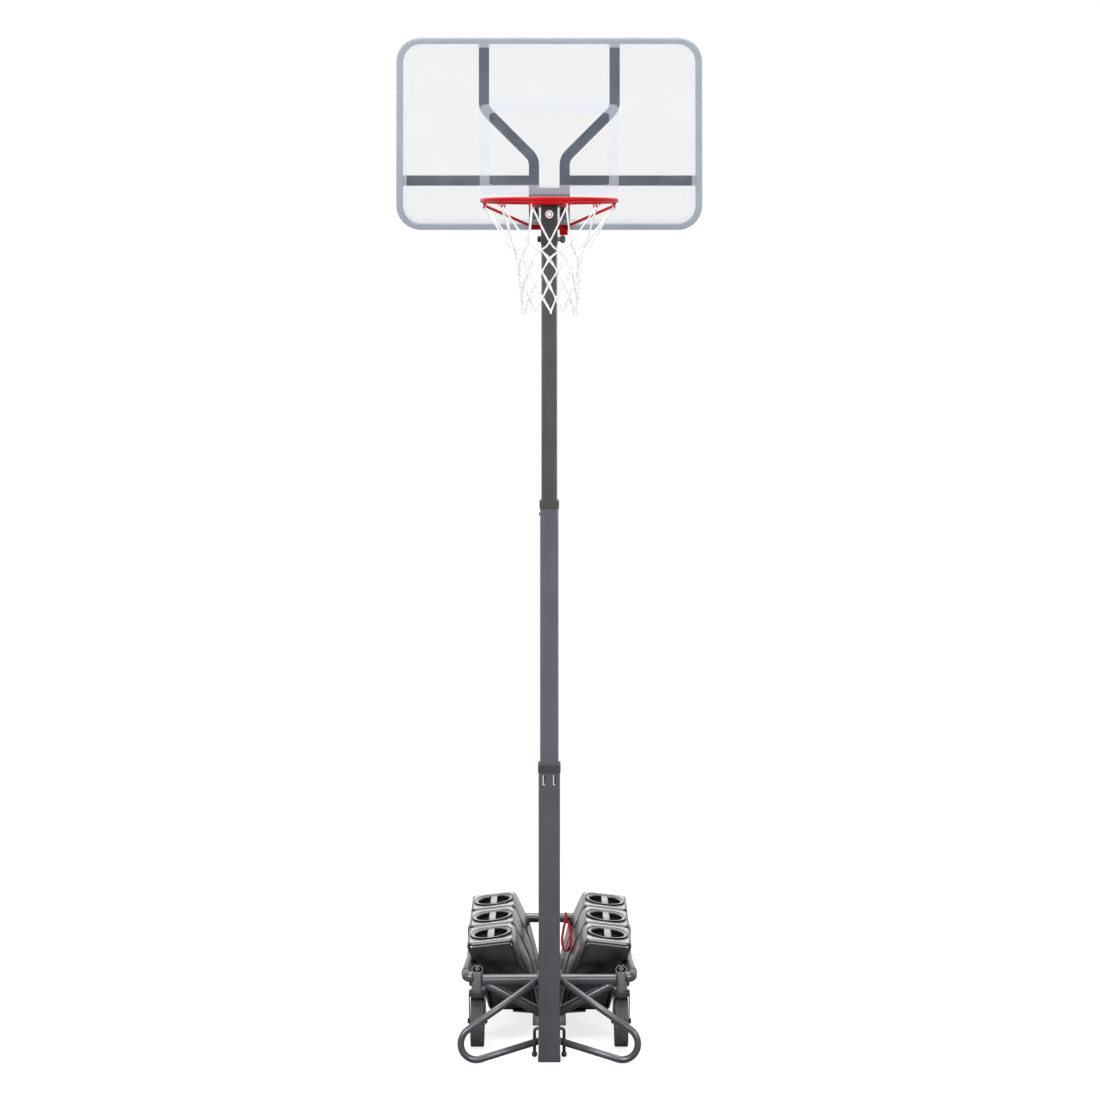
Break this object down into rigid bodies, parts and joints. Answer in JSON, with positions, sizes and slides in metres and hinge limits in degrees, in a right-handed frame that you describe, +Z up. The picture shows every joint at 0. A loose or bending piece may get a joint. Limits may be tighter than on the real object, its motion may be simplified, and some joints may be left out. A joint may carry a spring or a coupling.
{
  "type": "portable basketball hoop",
  "caption": "Free-standing hoop: telescopic square pole that folds over a wheeled base with ballast tanks, clear board with printed square, rod ring and cord net.",
  "frame": {"origin": "on the ground, at the centre of the pole foot's bottom face", "axes": "+Z up, +Y from the court side towards the base, +X to the right seen from the court"},
  "size_m": [1.11, 1.6136, 3.655],
  "materials": {
    "grey_painted_steel": "satin powder coat",
    "black_painted_steel": "satin",
    "red_painted_steel": "gloss powder coat",
    "board_frame_aluminium": "satin, dark coated",
    "black_plastic": "moulded",
    "tank_plastic": "blow moulded, fine texture",
    "wheel_rubber": "matt",
    "clear_panel": "clear, polished",
    "white_print": "printed",
    "white_cord": "braided cord",
    "red_webbing": "woven"
  },
  "bodies": {
    "base": {"front_cross_tube": "grey_painted_steel", "side_rail_left": "grey_painted_steel", "side_rail_right": "grey_painted_steel", "rear_bar": "grey_painted_steel", "base_brace_left": "grey_painted_steel", "base_brace_right": "grey_painted_steel", "caster_sleeve_left": "grey_painted_steel", "caster_sleeve_right": "grey_painted_steel", "centre_post": "grey_painted_steel", "tank_tray": "black_painted_steel", "tank_left_front": "tank_plastic", "tank_left_middle": "tank_plastic", "tank_left_rear": "tank_plastic", "tank_right_front": "tank_plastic", "tank_right_middle": "tank_plastic", "tank_right_rear": "tank_plastic", "rear_fork_left": "black_painted_steel", "rear_fork_right": "black_painted_steel", "tie_strap": "red_webbing"},
    "pole_foot": {"lower_pole": "grey_painted_steel", "foot_cap": "black_plastic", "hinge_yoke": "black_painted_steel", "yoke_bolt": "black_painted_steel", "loop_left": "grey_painted_steel", "loop_right": "grey_painted_steel", "heel_stop_left": "black_plastic", "heel_stop_right": "black_plastic", "lower_collar": "black_plastic"},
    "middle_section": {"mid_pole": "grey_painted_steel", "upper_collar": "black_plastic"},
    "lock_button": {"lock_button": "black_painted_steel"},
    "upper_section": {"upper_pole": "grey_painted_steel", "head_yoke": "black_painted_steel", "badge": "white_print", "clamp_nut": "black_painted_steel", "board_panel": "clear_panel", "border_print": "white_print", "target_print": "white_print", "rim_tube": "board_frame_aluminium", "board_bar_left": "board_frame_aluminium", "board_bar_right": "board_frame_aluminium", "joining_plate": "board_frame_aluminium", "panel_bolt_left": "black_painted_steel", "panel_bolt_right": "black_painted_steel", "ring": "red_painted_steel", "ring_bracket": "red_painted_steel", "net": "white_cord"},
    "clamp_knob": {"clamp_knob": "black_plastic"},
    "caster_left": {"caster_fork_left": "black_painted_steel"},
    "front_wheel_left": {"front_wheel_left": "wheel_rubber"},
    "rear_wheel_left": {"rear_wheel_left": "wheel_rubber"},
    "filler_lid_left_front": {"filler_lid_left_front": "tank_plastic"},
    "filler_lid_left_middle": {"filler_lid_left_middle": "tank_plastic"},
    "filler_lid_left_rear": {"filler_lid_left_rear": "tank_plastic"},
    "caster_right": {"caster_fork_right": "black_painted_steel"},
    "front_wheel_right": {"front_wheel_right": "wheel_rubber"},
    "rear_wheel_right": {"rear_wheel_right": "wheel_rubber"},
    "filler_lid_right_front": {"filler_lid_right_front": "tank_plastic"},
    "filler_lid_right_middle": {"filler_lid_right_middle": "tank_plastic"},
    "filler_lid_right_rear": {"filler_lid_right_rear": "tank_plastic"}
  },
  "joints": [
    {"name": "pole_fold", "type": "hinge", "parent": "base", "child": "pole_foot", "pos_m": [0, 0.12, 0.248], "axis": [-1, 0, 0], "range_deg": [0, 90]},
    {"name": "middle_slide", "type": "slide", "parent": "pole_foot", "child": "middle_section", "axis": [0, 0, 1], "range_m": [-0.58, 0]},
    {"name": "upper_slide", "type": "slide", "parent": "middle_section", "child": "upper_section", "axis": [0, 0, 1], "range_m": [-0.85, 0]},
    {"name": "lock_button_press", "type": "slide", "parent": "middle_section", "child": "lock_button", "axis": [1, 0, 0], "range_m": [0, 0.002]},
    {"name": "clamp_knob_turn", "type": "hinge", "parent": "upper_section", "child": "clamp_knob", "pos_m": [0.057, 0, 2.921], "axis": [1, 0, 0], "continuous": true},
    {"name": "caster_swivel_left", "type": "hinge", "parent": "base", "child": "caster_left", "pos_m": [-0.26, 0.12, 0.2], "axis": [0, 0, 1], "continuous": true},
    {"name": "front_wheel_spin_left", "type": "hinge", "parent": "caster_left", "child": "front_wheel_left", "pos_m": [-0.26, 0.155, 0.091], "axis": [1, 0, 0], "continuous": true},
    {"name": "rear_wheel_spin_left", "type": "hinge", "parent": "base", "child": "rear_wheel_left", "pos_m": [-0.289, 0.95, 0.09], "axis": [1, 0, 0], "continuous": true},
    {"name": "lid_turn_left_front", "type": "hinge", "parent": "base", "child": "filler_lid_left_front", "pos_m": [-0.2165, 0.37875, 0.3492], "axis": [-0.1183, 0, 0.993], "continuous": true},
    {"name": "lid_turn_left_middle", "type": "hinge", "parent": "base", "child": "filler_lid_left_middle", "pos_m": [-0.2165, 0.63125, 0.3492], "axis": [-0.1183, 0, 0.993], "continuous": true},
    {"name": "lid_turn_left_rear", "type": "hinge", "parent": "base", "child": "filler_lid_left_rear", "pos_m": [-0.2165, 0.88375, 0.3492], "axis": [-0.1183, 0, 0.993], "continuous": true},
    {"name": "caster_swivel_right", "type": "hinge", "parent": "base", "child": "caster_right", "pos_m": [0.26, 0.12, 0.2], "axis": [0, 0, 1], "continuous": true},
    {"name": "front_wheel_spin_right", "type": "hinge", "parent": "caster_right", "child": "front_wheel_right", "pos_m": [0.26, 0.155, 0.091], "axis": [1, 0, 0], "continuous": true},
    {"name": "rear_wheel_spin_right", "type": "hinge", "parent": "base", "child": "rear_wheel_right", "pos_m": [0.289, 0.95, 0.09], "axis": [1, 0, 0], "continuous": true},
    {"name": "lid_turn_right_front", "type": "hinge", "parent": "base", "child": "filler_lid_right_front", "pos_m": [0.2165, 0.37875, 0.3492], "axis": [0.1183, 0, 0.993], "continuous": true},
    {"name": "lid_turn_right_middle", "type": "hinge", "parent": "base", "child": "filler_lid_right_middle", "pos_m": [0.2165, 0.63125, 0.3492], "axis": [0.1183, 0, 0.993], "continuous": true},
    {"name": "lid_turn_right_rear", "type": "hinge", "parent": "base", "child": "filler_lid_right_rear", "pos_m": [0.2165, 0.88375, 0.3492], "axis": [0.1183, 0, 0.993], "continuous": true}
  ]
}
